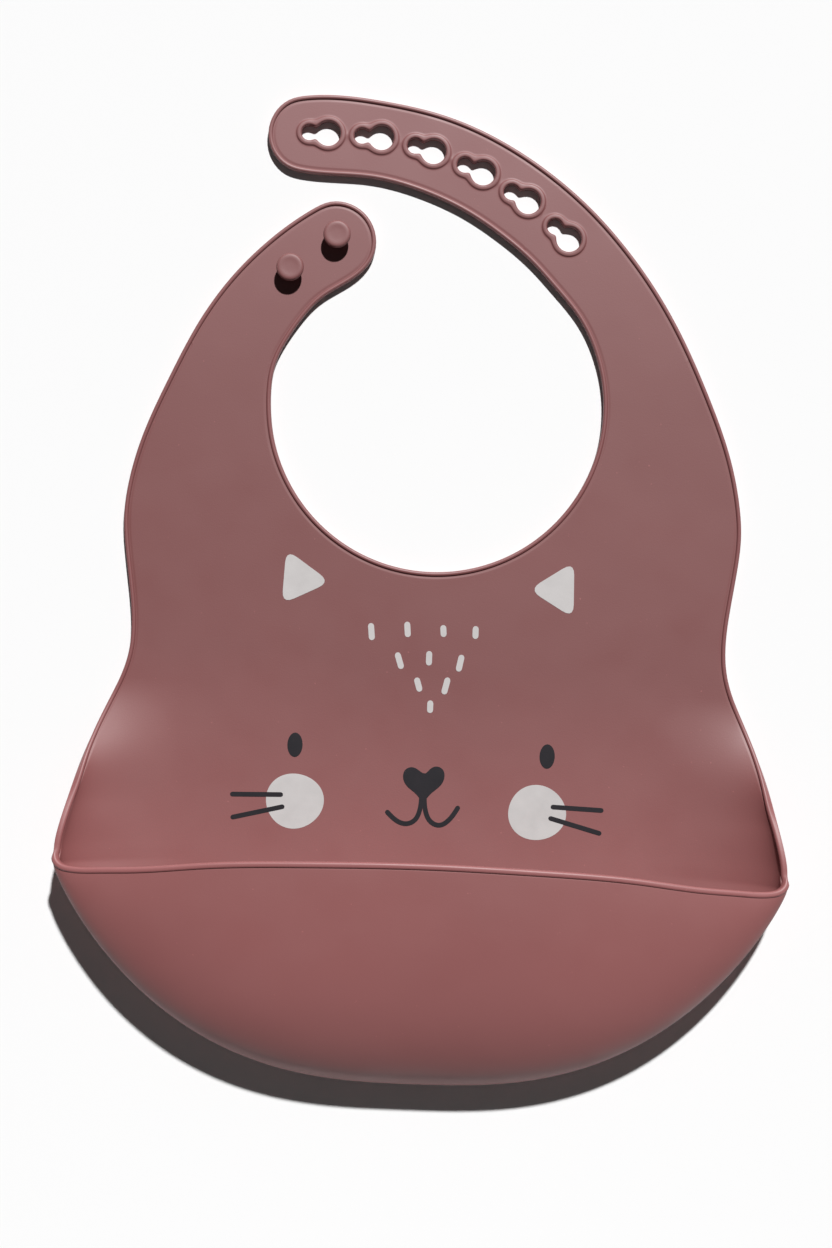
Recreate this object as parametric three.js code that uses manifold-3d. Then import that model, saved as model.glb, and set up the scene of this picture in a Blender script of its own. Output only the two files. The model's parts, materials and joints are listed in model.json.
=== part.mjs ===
// Silicone baby bib with a catch pocket, lying on its back. Millimetres.
// +Z is up through the sheet, +Y points to the neck, +X to the slotted strap.
// The origin is the bottom centre of the whole bib. The real bib is one moulding
// with printed ink: its regions are separate solids here, and the lines where the
// silicone bends are V-grooves that let the solids on either side turn.
import * as THREE from 'three';
import * as BufferGeometryUtils from 'three/addons/utils/BufferGeometryUtils.js';
import Module from 'manifold-3d';

const wasm = await Module();
wasm.setup();

// ---- driving dimensions ----
const SHEET = 2.0;
const BEAD_HEIGHT = 2.75;
const BEAD_WIDTH = 1.8;
const INK = 0.15;
const NECK = { x: 0, y: 58.2, r: 52.4 };
const WAIST_Y = -17.5;
const CORNER = { x: 112.5, y: -88.5, z: 13 };
const POCKET_BOTTOM_Y = -154;
const POCKET_BOTTOM_Z = 6;
const RIM_CENTRE = { y: -81.8, z: 34 };
const RIM_CORNER_Z = 16;
const RIM_BEAD_R = 1.4;
const GAP = 0.3;

// hinge lines: radial ones are given by their angle around the neck
const STRAP_ROOT_ANGLE = 28;
const STUD_ROOT_ANGLE = 152;
const CURL_ANGLE = 88.5;
const HINGE_Z = SHEET / 2;
const HINGE_CENTRE = { x: 0, y: 57 };
const LIP_HINGE = { y: -118, z: 29.5 };
const LIP_HALF_WIDTH = 58;

const SILICONE = { color: 0x96625f, roughness: 0.62 };
const WHITE_INK = { color: 0xd0ccca, roughness: 0.7 };
const DARK_INK = { color: 0x3c383a, roughness: 0.7 };

const bib = new THREE.Group();
bib.name = 'silicone_bib';

const rad = THREE.MathUtils.degToRad;
const vec2 = (pairs) => pairs.map(([x, y]) => new THREE.Vector2(x, y));

// ---- solids and meshes ----
function toSolid(geometry) {
  const bare = geometry.clone();
  bare.deleteAttribute('normal');
  bare.deleteAttribute('uv');
  const merged = BufferGeometryUtils.mergeVertices(bare, 1e-4);
  return new wasm.Manifold(new wasm.Mesh({
    numProp: 3,
    vertProperties: new Float32Array(merged.attributes.position.array),
    triVerts: new Uint32Array(merged.index.array),
  }));
}

function toGeometry(solid) {
  const mesh = solid.getMesh();
  const geometry = new THREE.BufferGeometry();
  geometry.setAttribute('position', new THREE.BufferAttribute(mesh.vertProperties, 3));
  geometry.setIndex(new THREE.BufferAttribute(mesh.triVerts, 1));
  geometry.computeVertexNormals();
  return geometry;
}

function addMesh(name, shape, look) {
  const geometry = shape.isBufferGeometry ? shape : toGeometry(shape);
  const material = new THREE.MeshStandardMaterial({ metalness: 0, ...look });
  const mesh = new THREE.Mesh(geometry, material);
  mesh.name = name;
  bib.add(mesh);
  return mesh;
}

function prism(points, fromZ, toZ) {
  const geometry = new THREE.ExtrudeGeometry(new THREE.Shape(points), {
    depth: toZ - fromZ,
    bevelEnabled: false,
    steps: 1,
  });
  return geometry.translate(0, 0, fromZ);
}

function arc(x, y, r, fromDeg, toDeg, steps) {
  const points = [];
  for (let i = 0; i <= steps; i++) {
    const a = rad(fromDeg + ((toDeg - fromDeg) * i) / steps);
    points.push(new THREE.Vector2(x + r * Math.cos(a), y + r * Math.sin(a)));
  }
  return points;
}

const spline = (pairs, steps) => new THREE.SplineCurve(vec2(pairs)).getPoints(steps);

// a closed shell between two equal grids of points, upper[i][j] above lower[i][j]
function shell(upper, lower) {
  const rows = upper.length;
  const cols = upper[0].length;
  const points = [...upper.flat(), ...lower.flat()];
  const top = (i, j) => i * cols + j;
  const under = (i, j) => rows * cols + i * cols + j;
  const index = [];
  const quad = (a, b, c, d) => index.push(a, b, c, a, c, d);
  for (let i = 0; i < rows - 1; i++) {
    for (let j = 0; j < cols - 1; j++) {
      quad(top(i, j), top(i + 1, j), top(i + 1, j + 1), top(i, j + 1));
      quad(under(i, j), under(i, j + 1), under(i + 1, j + 1), under(i + 1, j));
    }
    quad(top(i, 0), under(i, 0), under(i + 1, 0), top(i + 1, 0));
    quad(top(i, cols - 1), top(i + 1, cols - 1), under(i + 1, cols - 1), under(i, cols - 1));
  }
  for (let j = 0; j < cols - 1; j++) {
    quad(top(0, j), top(0, j + 1), under(0, j + 1), under(0, j));
    quad(top(rows - 1, j), under(rows - 1, j), under(rows - 1, j + 1), top(rows - 1, j + 1));
  }
  const geometry = new THREE.BufferGeometry();
  geometry.setAttribute('position', new THREE.Float32BufferAttribute(points.flat(), 3));
  geometry.setIndex(index);
  geometry.computeVertexNormals();
  return geometry;
}

// a bow-tie groove along a hinge axis: 45 degree walls that leave the hinge free to turn
function hingeGroove(centre, angleDeg, fromR, toR, axisZ, depth) {
  const slope = 1.15;
  const half = GAP / 2;
  const wide = half + slope * depth;
  const section = vec2([
    [half, 0],
    [wide, depth],
    [-wide, depth],
    [-half, 0],
    [-wide, -depth],
    [wide, -depth],
  ]);
  const geometry = prism(section, fromR, toR);
  // the section's own y turns up to +Z and its extrusion runs along +X
  geometry.rotateX(Math.PI / 2);
  geometry.rotateZ(Math.PI / 2);
  geometry.rotateZ(rad(angleDeg));
  return toSolid(geometry.translate(centre.x, centre.y, axisZ));
}

// ---- outline of the flat sheet: right side, slotted strap, neck, stud strap, left side ----
const TIP = { x: -44, y: 142, r: 12 };
const TAB = { x: -33.6, y: 108.6, r: 12.5, facing: 40 };

const RIGHT_SIDE = [
  [97.0, -40],
  [94.0, -22],
  [93.9, -12],
  [96.4, 7],
  [96.8, 24],
  [94.6, 38],
  [88.6, 56],
  [80.7, 74],
  [72.2, 89.5],
  [58.0, 109.2],
  [46.7, 121.2],
  [33.4, 132.1],
  [18.0, 141.6],
  [0, 149],
  [-20.5, 153.3],
  [-44, 154],
];
const SLOT_STRAP_INNER = [
  [-44, 130],
  [-23.4, 129],
  [-7.2, 125.3],
  [6.6, 119.5],
  [18, 112.4],
  [27.6, 104.8],
  [36, 96.2],
];
const STUD_STRAP_INNER = [
  [-48.9, 74.7],
  [-44.3, 82.8],
  [-37.5, 90.7],
  [-25.6, 99],
];
const LEFT_SIDE = [
  [-41.6, 118.2],
  [-55.7, 107.2],
  [-66.6, 95.4],
  [-75.8, 81.6],
  [-83.7, 65.8],
  [-91, 47.8],
  [-94.6, 38],
  [-96.8, 24],
  [-96.4, 7],
  [-93.9, -12],
  [-94.0, -22],
  [-97.0, -40],
];

const flatOutline = [
  ...spline(RIGHT_SIDE, 44).slice(0, -1),
  ...arc(TIP.x, TIP.y, TIP.r, 90, 270, 10),
  ...spline(SLOT_STRAP_INNER, 14).slice(1),
  ...arc(NECK.x, NECK.y, NECK.r, 38, -198, 36),
  ...spline(STUD_STRAP_INNER, 8).slice(1, -1),
  ...arc(TAB.x, TAB.y, TAB.r, TAB.facing - 90, TAB.facing + 90, 12),
  ...spline(LEFT_SIDE, 32).slice(1),
];

// the same outline moved inwards, with the material on its left side
function inset(points, distance) {
  return points.map((p, i) => {
    const before = points[Math.max(i - 1, 0)];
    const after = points[Math.min(i + 1, points.length - 1)];
    const along = after.clone().sub(before).normalize();
    return new THREE.Vector2(p.x - along.y * distance, p.y + along.x * distance);
  });
}

// ---- keyholes: a wide lobe for the stud's cap and a narrow one towards the tip ----
const KEYHOLE = { wide: 3.9, narrow: 2.4, lip: 1.1, lipHeight: 0.5 };
const KEYHOLES = [
  { wide: [-37.3, 142.4], narrow: [-43.3, 142.5] },
  { wide: [-20.5, 141.7], narrow: [-26.7, 142.0] },
  { wide: [-4.0, 137.9], narrow: [-9.9, 139.5] },
  { wide: [11.8, 131.8], narrow: [5.9, 134.1] },
  { wide: [26.3, 123.3], narrow: [20.9, 126.1] },
  { wide: [39.5, 111.9], narrow: [34.9, 115.8] },
];

function lobes(hole, grow, fromZ, toZ) {
  const wide = prism(arc(...hole.wide, KEYHOLE.wide + grow, 0, 342, 19), fromZ, toZ);
  const narrow = prism(arc(...hole.narrow, KEYHOLE.narrow + grow, 0, 337.5, 15), fromZ, toZ);
  return toSolid(wide).add(toSolid(narrow));
}

let flatSheet = toSolid(prism(flatOutline, 0, BEAD_HEIGHT));
const recess = inset(flatOutline, BEAD_WIDTH);
recess[0].y -= 20;
recess[recess.length - 1].y -= 20;
flatSheet = flatSheet.subtract(toSolid(prism(recess, SHEET, BEAD_HEIGHT + 1)));
for (const hole of KEYHOLES) {
  flatSheet = flatSheet.add(lobes(hole, KEYHOLE.lip, SHEET / 2, SHEET + KEYHOLE.lipHeight));
}
for (const hole of KEYHOLES) {
  flatSheet = flatSheet.subtract(lobes(hole, 0, -1, BEAD_HEIGHT + 1));
}

// ---- the flat sheet comes apart at its bend lines ----
const farAlong = (deg, r) => [
  HINGE_CENTRE.x + r * Math.cos(rad(deg)),
  HINGE_CENTRE.y + r * Math.sin(rad(deg)),
];
const BETWEEN_STRAPS = [[-90, 125.5], [-25, 125.5], [-12, 115]];
const hub = [HINGE_CENTRE.x, HINGE_CENTRE.y];
const slottedRegion = [hub, farAlong(STRAP_ROOT_ANGLE, 160), [140, 170], [-90, 170], ...BETWEEN_STRAPS];
const tipRegion = [hub, farAlong(CURL_ANGLE, 120), [-90, 177], ...BETWEEN_STRAPS];
const studRegion = [hub, [-12, 115], [-25, 125.5], [-124, 125.5], farAlong(STUD_ROOT_ANGLE, 140)];
const region = (pairs) => toSolid(prism(vec2(pairs), -2, 6));

const GROOVE_DEPTH = 3;
const rootGroove = hingeGroove(HINGE_CENTRE, STRAP_ROOT_ANGLE, 30, 110, HINGE_Z, GROOVE_DEPTH);
const studGroove = hingeGroove(HINGE_CENTRE, STUD_ROOT_ANGLE, 30, 110, HINGE_Z, GROOVE_DEPTH);
const curlGroove = hingeGroove(HINGE_CENTRE, CURL_ANGLE, 50, 110, HINGE_Z, GROOVE_DEPTH);
const waistGroove = hingeGroove({ x: 0, y: WAIST_Y }, 0, -130, 130, HINGE_Z, GROOVE_DEPTH);
const belowWaist = region([[-130, WAIST_Y], [-130, -60], [130, -60], [130, WAIST_Y]]);

addMesh('chest_panel', flatSheet.subtract(region(slottedRegion)).subtract(region(studRegion))
  .subtract(belowWaist).subtract(rootGroove).subtract(studGroove).subtract(waistGroove), SILICONE);
addMesh('slotted_strap', flatSheet.intersect(region(slottedRegion)).subtract(region(tipRegion))
  .subtract(rootGroove).subtract(curlGroove), SILICONE);
addMesh('slotted_strap_tip', flatSheet.intersect(region(tipRegion)).subtract(curlGroove), SILICONE);
addMesh('stud_strap', flatSheet.intersect(region(studRegion)).subtract(studGroove), SILICONE);

// ---- belly panel: flat in the middle, its sides turned up into the pocket's walls ----
const CURL_START = { side: 0.6, bottom: 0.8 };
const CURL_BEGIN_Y = -24;
const STEEP = { from: -45, to: -84 };
const sideCurve = spline(
  [[94, -16], [94.2, -24], [98, -34.7], [103.2, -46.7], [107.4, -58.8], [110.2, -71], [112.5, -88.5]],
  60,
);

function halfWidth(y) {
  const next = Math.max(1, sideCurve.findIndex((p) => p.y <= y));
  const a = sideCurve[next - 1];
  const b = sideCurve[next];
  return a.x + ((b.x - a.x) * (y - a.y)) / (b.y - a.y);
}

// front edge of the pocket, seen from above
function bottomY(x) {
  const across = Math.min(1, Math.abs(x) / CORNER.x);
  return CORNER.y + (POCKET_BOTTOM_Y - CORNER.y) * (1 - across ** 2.65) ** 0.85;
}

// rises from flat to upright as its reach goes from 0 to 1
const quarterEllipse = (reach) => 1 - Math.sqrt(1 - Math.min(1, reach) ** 2);

// height of the panel's underside: t is 0 at the mouth and 1 at the pocket's front edge
function panelZ(across, y, t) {
  const climb = Math.max(0, Math.min(1, (CURL_BEGIN_Y - y) / (CURL_BEGIN_Y - CORNER.y)));
  const sideRise = CORNER.z * climb ** 1.6;
  const sideReach = Math.max(0, (Math.abs(across) - CURL_START.side) / (1 - CURL_START.side));
  const bottomReach = Math.max(0, (t - CURL_START.bottom) / (1 - CURL_START.bottom));
  const steep = THREE.MathUtils.smoothstep(-y, -STEEP.from, -STEEP.to);
  const sideCurl = THREE.MathUtils.lerp(sideReach ** 2, quarterEllipse(sideReach), steep);
  const bottomCurl = quarterEllipse(bottomReach);
  return sideRise * sideCurl + POCKET_BOTTOM_Z * bottomCurl * (1 - sideCurl);
}

const COLUMNS = 28;
const UPPER_ROWS = 9;
const LOWER_ROWS = 8;
const FOLD_Y = -86;
const acrossAt = (i) => Math.sin((Math.PI / 2) * ((2 * i) / COLUMNS - 1));
const isBead = (i) => i < 2 || i > COLUMNS - 2;

const panelUpper = [];
const panelLower = [];
for (let i = 0; i <= COLUMNS; i++) {
  const across = acrossAt(i);
  const upper = [];
  const lower = [];
  for (let row = 0; row <= UPPER_ROWS + LOWER_ROWS; row++) {
    const t = Math.max(0, row - UPPER_ROWS) / LOWER_ROWS;
    const mouthY = -16 + ((FOLD_Y + 16) * Math.min(row, UPPER_ROWS)) / UPPER_ROWS;
    const x = across * (t > 0 ? CORNER.x : halfWidth(mouthY));
    const y = t > 0 ? FOLD_Y + (bottomY(x) - FOLD_Y) * t ** 0.8 : mouthY;
    const z = panelZ(across, y, t ** 0.8);
    const thick = isBead(i) && t === 0 ? BEAD_HEIGHT : SHEET;
    lower.unshift([x, y, z]);
    upper.unshift([x, y, z + thick]);
  }
  panelLower.push(lower);
  panelUpper.push(upper);
}
const bellyPanel = toSolid(shell(panelUpper, panelLower)).subtract(waistGroove)
  .subtract(region([[-130, WAIST_Y], [130, WAIST_Y], [130, 0], [-130, 0]]));
addMesh('belly_panel', bellyPanel, SILICONE);

// ---- pocket front: a wall that stands on the panel's front edge and rolls over to the rim ----
const rimY = (x) => CORNER.y + (RIM_CENTRE.y - CORNER.y) * (1 - Math.abs(x / CORNER.x) ** 2);
const rimZ = (x) => RIM_CORNER_Z + (RIM_CENTRE.z - RIM_CORNER_Z) * (1 - Math.abs(x / CORNER.x) ** 2.4);

function wallColumn(x, steps) {
  const outer = [];
  const inner = [];
  const foot = bottomY(x);
  const footZ = panelZ(x / CORNER.x, foot, 1) + SHEET + GAP;
  for (let j = 0; j <= steps; j++) {
    const a = (j / steps) * (Math.PI / 2);
    const inwards = 1 - Math.cos(a);
    const up = Math.sin(a);
    outer.push([x, foot + (rimY(x) - foot) * inwards, footZ + (rimZ(x) - footZ) * up]);
    inner.push([x, foot + SHEET + (rimY(x) - foot - SHEET) * inwards, footZ + (rimZ(x) - SHEET - footZ) * up]);
  }
  return { outer, inner };
}

const wallUpper = [];
const wallLower = [];
for (let i = 2; i <= COLUMNS - 2; i++) {
  const column = wallColumn(acrossAt(i) * CORNER.x, 12);
  wallUpper.push(column.outer);
  wallLower.push(column.inner);
}
const frontWall = toSolid(shell(wallUpper, wallLower));
const lipGroove = hingeGroove({ x: 0, y: LIP_HINGE.y }, 0, -LIP_HALF_WIDTH, LIP_HALF_WIDTH, LIP_HINGE.z, 6);
const lipBlock = (grow) => {
  const w = LIP_HALF_WIDTH + grow;
  return toSolid(prism(vec2([[-w, LIP_HINGE.y], [w, LIP_HINGE.y], [w, -60], [-w, -60]]), 0, 50));
};
addMesh('pocket_front', frontWall.subtract(lipBlock(GAP)).subtract(lipGroove), SILICONE);
addMesh('pocket_lip', frontWall.intersect(lipBlock(0)).subtract(lipGroove), SILICONE);

// ---- rim bead, in three stretches: the middle one lifts with the lip ----
function rimBead(name, fromX, toX, steps) {
  const path = [];
  for (let i = 0; i <= steps; i++) {
    const x = fromX + ((toX - fromX) * i) / steps;
    path.push(new THREE.Vector3(x, rimY(x) + GAP + RIM_BEAD_R, rimZ(x) - SHEET / 2));
  }
  const section = new THREE.Shape(arc(0, 0, RIM_BEAD_R, 0, 324, 9));
  addMesh(name, toSolid(new THREE.ExtrudeGeometry(section, {
    steps,
    extrudePath: new THREE.CatmullRomCurve3(path),
  })), SILICONE);
}
rimBead('pocket_rim', -LIP_HALF_WIDTH, LIP_HALF_WIDTH, 16);
rimBead('left_rim_end', -108, -LIP_HALF_WIDTH - GAP, 8);
rimBead('right_rim_end', LIP_HALF_WIDTH + GAP, 108, 8);

// ---- studs ----
const STUD_PROFILE = vec2([
  [0, 0],
  [2.7, 0],
  [2.2, 0.6],
  [2.2, 2.5],
  [3.7, 2.8],
  [4.2, 3.3],
  [4.2, 4.1],
  [3.8, 4.6],
  [3.1, 4.8],
  [0, 4.8],
]);
for (const [name, x, y] of [['upper_stud', -33.2, 110.2], ['lower_stud', -47.5, 99.4]]) {
  const stud = new THREE.LatheGeometry(STUD_PROFILE, 20).rotateX(Math.PI / 2);
  addMesh(name, stud.translate(x, y, SHEET), SILICONE);
}

// ---- printed face ----
const inkTop = SHEET + INK;
const ink = (points) => prism(points, SHEET, inkTop);

// a line with round ends along a path
function stroke(path, width) {
  const half = width / 2;
  const left = inset(path, half);
  const right = inset(path, -half);
  const cap = (centre, from) => {
    const start = Math.atan2(from.y - centre.y, from.x - centre.x);
    return [1, 2, 3, 4].map((k) => new THREE.Vector2(
      centre.x + half * Math.cos(start - (k * Math.PI) / 5),
      centre.y + half * Math.sin(start - (k * Math.PI) / 5),
    ));
  };
  const last = path[path.length - 1];
  return [...left, ...cap(last, left[left.length - 1]), ...right.reverse(), ...cap(path[0], right[right.length - 1])];
}

function roundedPolygon(corners, radius) {
  const points = [];
  corners.forEach((corner, i) => {
    const before = corners[(i + corners.length - 1) % corners.length];
    const after = corners[(i + 1) % corners.length];
    const start = corner.clone().add(before.clone().sub(corner).setLength(radius));
    const end = corner.clone().add(after.clone().sub(corner).setLength(radius));
    points.push(...new THREE.QuadraticBezierCurve(start, corner, end).getPoints(5));
  });
  return points;
}

// forehead marks: centre, length and lean to the left in degrees
const MARKS = [
  { x: -18, y: -13.5, length: 5.4, lean: 6 },
  { x: -6.7, y: -12.4, length: 4.9, lean: 5 },
  { x: 4.6, y: -12.5, length: 3.8, lean: 5 },
  { x: 14.7, y: -12.6, length: 4.1, lean: 0 },
  { x: -8.9, y: -22.3, length: 5.4, lean: 18 },
  { x: 0.4, y: -21.2, length: 4.6, lean: 0 },
  { x: 10.2, y: -22.4, length: 5.4, lean: -11 },
  { x: -2.7, y: -29.6, length: 4.6, lean: 17 },
  { x: 6, y: -29.7, length: 5.5, lean: -13 },
  { x: 1.3, y: -36.4, length: 4, lean: 0 },
];
MARKS.forEach(({ x, y, length, lean }, i) => {
  const reach = new THREE.Vector2(0, (length - 1.9) / 2).rotateAround(new THREE.Vector2(), rad(lean));
  const centre = new THREE.Vector2(x, y);
  const path = [centre.clone().sub(reach), centre.clone().add(reach)];
  addMesh(`forehead_mark_${i + 1}`, ink(stroke(path, 1.9)), WHITE_INK);
});

// each half of the face, which is not printed quite evenly
const FACE = {
  left: {
    ear: [[-45.7, 11.4], [-46.5, -5.9], [-31.4, 1.6]],
    eye: [-40.7, -49.9],
    cheek: [-40.2, -67.5],
    upper: [[-44.6, -65.7], [-59.8, -66.1]],
    lower: [[-44, -69.5], [-59.4, -73.3]],
  },
  right: {
    ear: [[44.9, 10.8], [30.9, 1.5], [45.3, -7]],
    eye: [38.6, -50.7],
    cheek: [36, -68.5],
    upper: [[41, -66.5], [56.2, -67]],
    lower: [[40.4, -70.1], [55.8, -74.2]],
  },
};
const CHEEK = { rx: 9.1, ry: 8.65 };
const EYE = { rx: 2.4, ry: 3.85 };
const EAR_ROUNDING = 4.3;
const WHISKER_WIDTH = 1.5;
const oval = ([x, y], rx, ry, steps) => new THREE.EllipseCurve(x, y, rx, ry).getPoints(steps).slice(0, -1);

for (const [side, face] of Object.entries(FACE)) {
  addMesh(`${side}_ear`, ink(roundedPolygon(vec2(face.ear), EAR_ROUNDING)), WHITE_INK);
  addMesh(`${side}_eye`, ink(oval(face.eye, EYE.rx, EYE.ry, 24)), DARK_INK);
  let cheek = toSolid(ink(oval(face.cheek, CHEEK.rx, CHEEK.ry, 32)));
  for (const place of ['upper', 'lower']) {
    const path = vec2(face[place]);
    const clear = stroke(path, WHISKER_WIDTH + 2 * GAP);
    cheek = cheek.subtract(toSolid(prism(clear, SHEET - 1, inkTop + 1)));
    addMesh(`${side}_${place}_whisker`, ink(stroke(path, WHISKER_WIDTH)), DARK_INK);
  }
  addMesh(`${side}_cheek`, cheek, WHITE_INK);
}

// nose: a heart. The mouth is a short stem that parts into two hooks below it
const HEART = [
  [0, -56.6],
  [1.6, -55.6],
  [4.2, -55.2],
  [6.4, -57],
  [5.9, -59.6],
  [3.4, -62.4],
  [1.2, -64.4],
];
const heartLoop = [...HEART, [0, -65], ...HEART.slice(1).reverse().map(([x, y]) => [-x, y]), HEART[0]];
addMesh('nose', ink(spline(heartLoop, 42).slice(0, -1).reverse()), DARK_INK);
const MOUTH_STROKE = 1.5;
const mouthSides = [
  [[-0.3, -66.4], [-0.7, -69.4], [-2.2, -72.4], [-5, -73.7], [-8, -72.8], [-11, -70.2]],
  [[0.3, -66.4], [0.7, -69.4], [2.4, -72.6], [5.2, -73.8], [8.3, -72.1], [11.2, -67.9]],
].map((side) => toSolid(ink(stroke(spline(side, 18), MOUTH_STROKE))));
addMesh('mouth', mouthSides[0].add(mouthSides[1]), DARK_INK);

export default bib;
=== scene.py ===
"""Silicone baby bib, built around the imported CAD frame: one soft moulding with printed ink.

Lengths below are millimetres in the frame's own axes and are scaled to metres as each mesh
is made. The sheet lies flat with its printed face up. Its lower sides turn up and fold over
into a scoop-shaped pocket. A rounded bead runs along every free edge.
"""
import json
import math

import bmesh
import bpy
import numpy as np
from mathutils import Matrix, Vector, geometry


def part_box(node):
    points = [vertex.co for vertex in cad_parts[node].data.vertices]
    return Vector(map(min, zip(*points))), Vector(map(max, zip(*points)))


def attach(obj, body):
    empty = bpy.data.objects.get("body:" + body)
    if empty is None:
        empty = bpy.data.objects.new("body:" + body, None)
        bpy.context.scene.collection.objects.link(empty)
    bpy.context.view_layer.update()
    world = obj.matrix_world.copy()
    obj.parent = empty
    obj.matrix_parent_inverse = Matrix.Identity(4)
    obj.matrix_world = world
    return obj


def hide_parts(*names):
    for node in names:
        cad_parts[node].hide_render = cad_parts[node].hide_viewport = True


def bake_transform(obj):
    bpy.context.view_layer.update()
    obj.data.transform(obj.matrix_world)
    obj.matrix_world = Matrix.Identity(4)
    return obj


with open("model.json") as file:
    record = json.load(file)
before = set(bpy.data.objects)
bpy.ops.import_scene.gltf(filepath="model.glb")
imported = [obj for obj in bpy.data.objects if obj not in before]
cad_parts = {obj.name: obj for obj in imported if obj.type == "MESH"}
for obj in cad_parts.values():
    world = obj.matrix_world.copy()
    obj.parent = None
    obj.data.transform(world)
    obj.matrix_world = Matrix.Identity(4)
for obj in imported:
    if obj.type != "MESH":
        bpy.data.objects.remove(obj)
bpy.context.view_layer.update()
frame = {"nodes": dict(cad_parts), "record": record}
MM = 0.001


def node_box(node):
    """Lowest and highest corners of a CAD node, in millimetres."""
    low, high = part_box(node)
    return np.array(low) / MM, np.array(high) / MM


# ---------------------------------------------------------------- driving sizes
SHEET = 2.0
BEAD = {
    "width": 1.3, "rim_width": 1.9, "height": 2.5, "rim_proud": 0.5, "overhang": 0.1,
    "sink": 0.05, "upright_loss": 0.55, "rim_loss": 0.25, "foot": 0.3, "rim_foot": 0.5,
}
GROOVE = {"depth": 0.2, "gap": 0.15, "width": 0.24}
NECK = {"centre": (0.0, 58.2), "radius": 52.4}
HUB = np.array([0.0, 57.0])
TIP = {"centre": (-44.0, 142.0), "radius": 12.0}
TAB = {"centre": (-33.6, 108.6), "radius": 12.5, "facing": 40}
BOWL_TOP_Y = -31.0
CORNER = {"x": 112.8, "y": -83.6, "z": 16.5, "radius": 5.0}
FOLD = {"bottom_y": -154.0, "bottom_z": 6.0, "across": 2.65, "down": 0.85}
RIM = {"end_y": -88.4, "z": 34.0, "arch": 2.4}
RIM_PLAN = [(0, -82.2), (36, -83), (66, -84.9), (86, -87.3), (98, -88.2)]
CURL = {"side": 0.61, "bottom": 0.8}
SIDE = {"delay": 2.0, "upright_at": 0.75, "first_turn": 0.08}

# where the straps are cut, as angles around the neck, midway between their bend lines
STRAP_CUT = 13
KEYHOLE_CUT = 63.7
STUD_CUT = 167

RIGHT_SIDE = [
    (94.2, -24), (93.3, -14), (94.4, -2), (96.1, 10), (96.9, 20), (95.9, 31), (92.6, 45),
    (85.2, 64), (76.5, 82), (67.9, 96.2), (58, 109.2), (46.7, 121.2), (33.4, 132.1),
    (18, 141.6), (0, 149), (-21, 153.2),
]
SLOT_INNER = [(-23.4, 129), (-7.2, 125.3), (6.6, 119.5), (18, 112.4), (27.6, 104.8), (35.8, 96.4)]
STUD_INNER = [(-49.2, 74.7), (-44.3, 82.8), (-37.5, 90.7)]
LEFT_SIDE = [
    (-55.7, 107.2), (-66.6, 95.4), (-75.8, 81.6), (-84.4, 64), (-92.2, 45), (-95.8, 31),
    (-96.9, 20), (-96.1, 10), (-94.4, -2), (-93.3, -14), (-94.2, -24),
]
SIDE_FLAP = [
    (98, -34.7), (103.2, -46.7), (107.4, -58.8), (110.1, -69.5), (112.0, -77.5), (112.8, -83.6),
]

# how finely the surfaces are cut up
EDGE_ROWS = [0.0, 1.2, 1.65, 1.9, 2.3, 2.9]
PROFILE_STEPS = 60
BEND_CROWDING = 4.0
BOWL_ROWS = 64
RIM_COLUMNS = 150
EVEN_COLUMNS = 0.35
BEAD_STEPS = 6
OUTLINE_STEP = 1.5
CHEST_GRID = 2.5
STRAP_GRID = 2.0
INK_GRID = 1.5


# ---------------------------------------------------------------- curves
def arc_points(centre, radius, start, end, steps):
    """Points on an arc, with its angles in degrees."""
    a = np.radians(np.linspace(start, end, steps + 1))
    return [(centre[0] + radius * math.cos(t), centre[1] + radius * math.sin(t)) for t in a]


def spline(points, spacing, closed=False, ends=None):
    """A smooth curve through the points, with even curvature, cut into steps of about spacing.

    ends gives the directions that an open curve starts and finishes with.
    """
    p = np.array(points, float)
    if closed:
        p = np.vstack([p, p[:1]])
    n = len(p)
    h = np.linalg.norm(np.diff(p, axis=0), axis=1)
    slope = np.diff(p, axis=0) / h[:, None]
    a = np.zeros((n, n))
    b = np.zeros_like(p)
    for i in range(1, n - 1):
        a[i, i - 1 : i + 2] = 1 / h[i - 1], 2 / h[i - 1] + 2 / h[i], 1 / h[i]
        b[i] = 3 * (slope[i - 1] / h[i - 1] + slope[i] / h[i])
    if closed:
        a[0, 0], a[0, -1] = 1, -1
        a[-1, 0], a[-1, 1] = 2 / h[0], 1 / h[0]
        a[-1, -1], a[-1, -2] = 2 / h[-1], 1 / h[-1]
        b[-1] = 3 * (slope[0] / h[0] + slope[-1] / h[-1])
    elif ends is not None:
        a[0, 0] = a[-1, -1] = 1
        b[0], b[-1] = ends
    else:
        a[0, :2] = 2, 1
        a[-1, -2:] = 1, 2
        b[0], b[-1] = 3 * slope[0], 3 * slope[-1]
    tangent = np.linalg.solve(a, b)
    curve = []
    for i in range(n - 1):
        steps = max(1, round(h[i] / spacing))
        for t in np.arange(steps) / steps:
            curve.append(
                (1 + 2 * t) * (1 - t) ** 2 * p[i]
                + t * (1 - t) ** 2 * h[i] * tangent[i]
                + t * t * (3 - 2 * t) * p[i + 1]
                + t * t * (t - 1) * h[i] * tangent[i + 1]
            )
    if not closed:
        curve.append(p[-1])
    return np.array(curve)


def lengths(curve):
    """Distance along a curve at each of its points."""
    return np.r_[0, np.cumsum(np.linalg.norm(np.diff(curve, axis=0), axis=1))]


def along(curve, shares):
    """Points at the given shares of a curve's length."""
    s = lengths(curve)
    return np.stack([np.interp(np.asarray(shares) * s[-1], s, c) for c in curve.T], axis=1)


def headings(curve):
    """Unit direction of travel at each point."""
    d = np.gradient(curve, axis=0)
    return d / np.linalg.norm(d, axis=1)[:, None]


def offset(curve, distance):
    """A plan curve moved towards its left side."""
    t = headings(curve)
    return curve + distance * np.stack([-t[:, 1], t[:, 0]], axis=1)


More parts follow.
